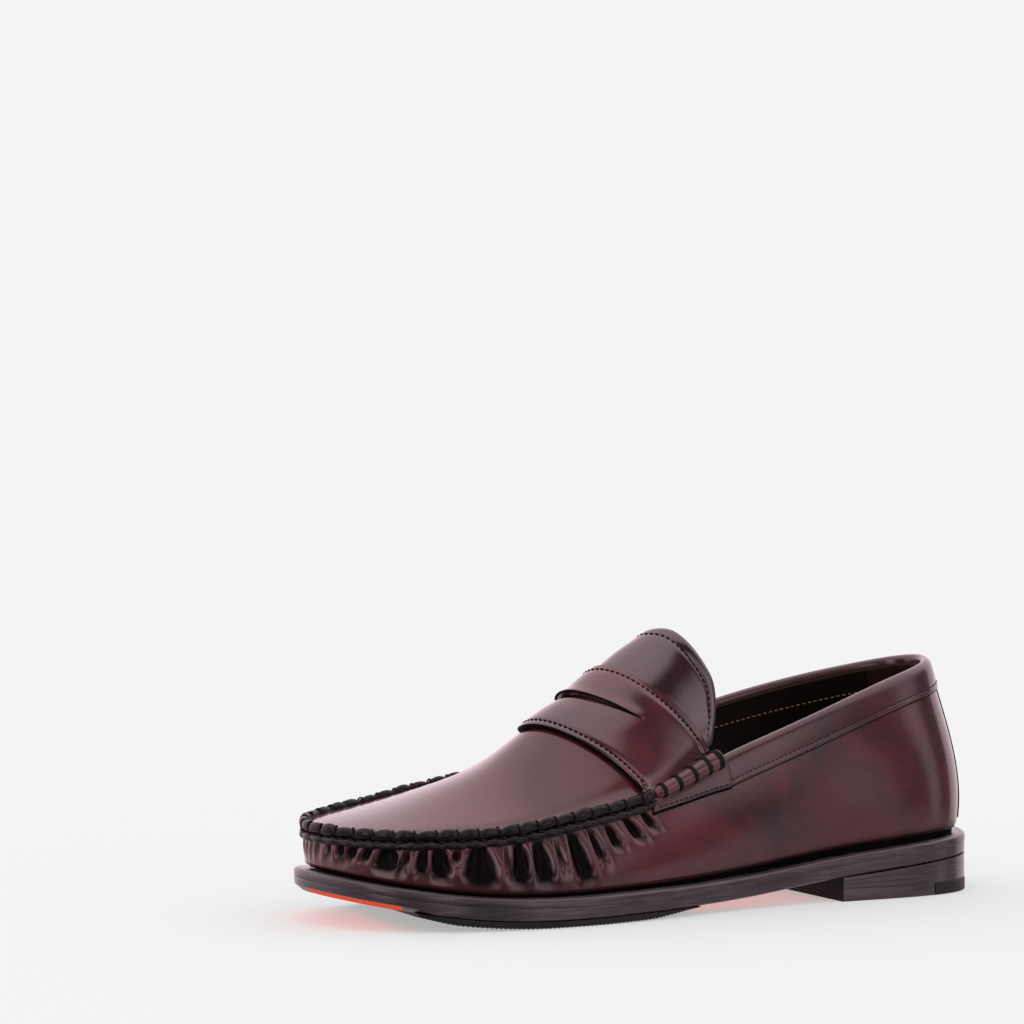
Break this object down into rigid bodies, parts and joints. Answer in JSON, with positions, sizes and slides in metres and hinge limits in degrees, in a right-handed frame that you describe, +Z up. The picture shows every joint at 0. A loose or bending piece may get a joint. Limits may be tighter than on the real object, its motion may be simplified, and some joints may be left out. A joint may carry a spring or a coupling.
{
  "type": "penny loafer shoe",
  "caption": "Left penny loafer with a gathered moccasin toe, slotted saddle strap, beef rolls, tongue, leather sole with rubber forefoot and a low stacked heel.",
  "frame": {"origin": "centre of the bounding box at ground level, under the shoe", "axes": "+X from heel to toe, +Y to the wearer's left (outer side of this left shoe), +Z up"},
  "size_m": [0.2946, 0.1028, 0.1107],
  "materials": {
    "oxblood_leather": "glossy polished",
    "seam_leather": "semi-gloss, blackened",
    "edge_leather": "black polished sole edge",
    "rubber": "matt black",
    "brown_lining": "matt brown lining",
    "dark_lining": "matt dark brown lining",
    "suede": "brown suede",
    "fibre_board": "matt board",
    "cork": "matt cork",
    "thread": "waxed dark thread",
    "steel": "satin"
  },
  "bodies": {
    "shoe": {"apron_plug": "oxblood_leather", "apron_seam": "seam_leather", "back_strip": "oxblood_leather", "beef_roll_inner": "oxblood_leather", "beef_roll_outer": "oxblood_leather", "collar_band": "oxblood_leather", "collar_bead": "oxblood_leather", "cork_filler": "cork", "heel_counter": "fibre_board", "heel_grip": "suede", "heel_lift_1": "edge_leather", "heel_lift_2": "edge_leather", "heel_lift_3": "edge_leather", "heel_nail_1": "steel", "heel_nail_2": "steel", "heel_nail_3": "steel", "heel_nail_4": "steel", "heel_nail_5": "steel", "heel_rubber_tip": "rubber", "heel_seat_filler": "fibre_board", "heel_top_piece": "edge_leather", "insole_board": "fibre_board", "midsole_welt": "edge_leather", "moccasin_vamp": "oxblood_leather", "outsole": "edge_leather", "plug_lining": "brown_lining", "quarter_lining_inner": "brown_lining", "quarter_lining_outer": "brown_lining", "roll_binding_inner_1": "thread", "roll_binding_inner_2": "thread", "roll_binding_inner_3": "thread", "roll_binding_inner_4": "thread", "roll_binding_outer_1": "thread", "roll_binding_outer_2": "thread", "roll_binding_outer_3": "thread", "roll_binding_outer_4": "thread", "rubber_half_sole": "rubber", "saddle_strap": "oxblood_leather", "shank": "steel", "sock_lining": "brown_lining", "toe_puff": "fibre_board", "vamp_lining": "brown_lining"},
    "tongue": {"tongue": "oxblood_leather", "tongue_lining": "dark_lining"}
  },
  "joints": [
    {"name": "tongue_flex", "type": "hinge", "parent": "shoe", "child": "tongue", "pos_m": [0.02537, 0.00076, 0.0955], "axis": [0, 1, 0], "range_deg": [0, 20], "stiffness_Nm_per_rad": 0.04}
  ]
}
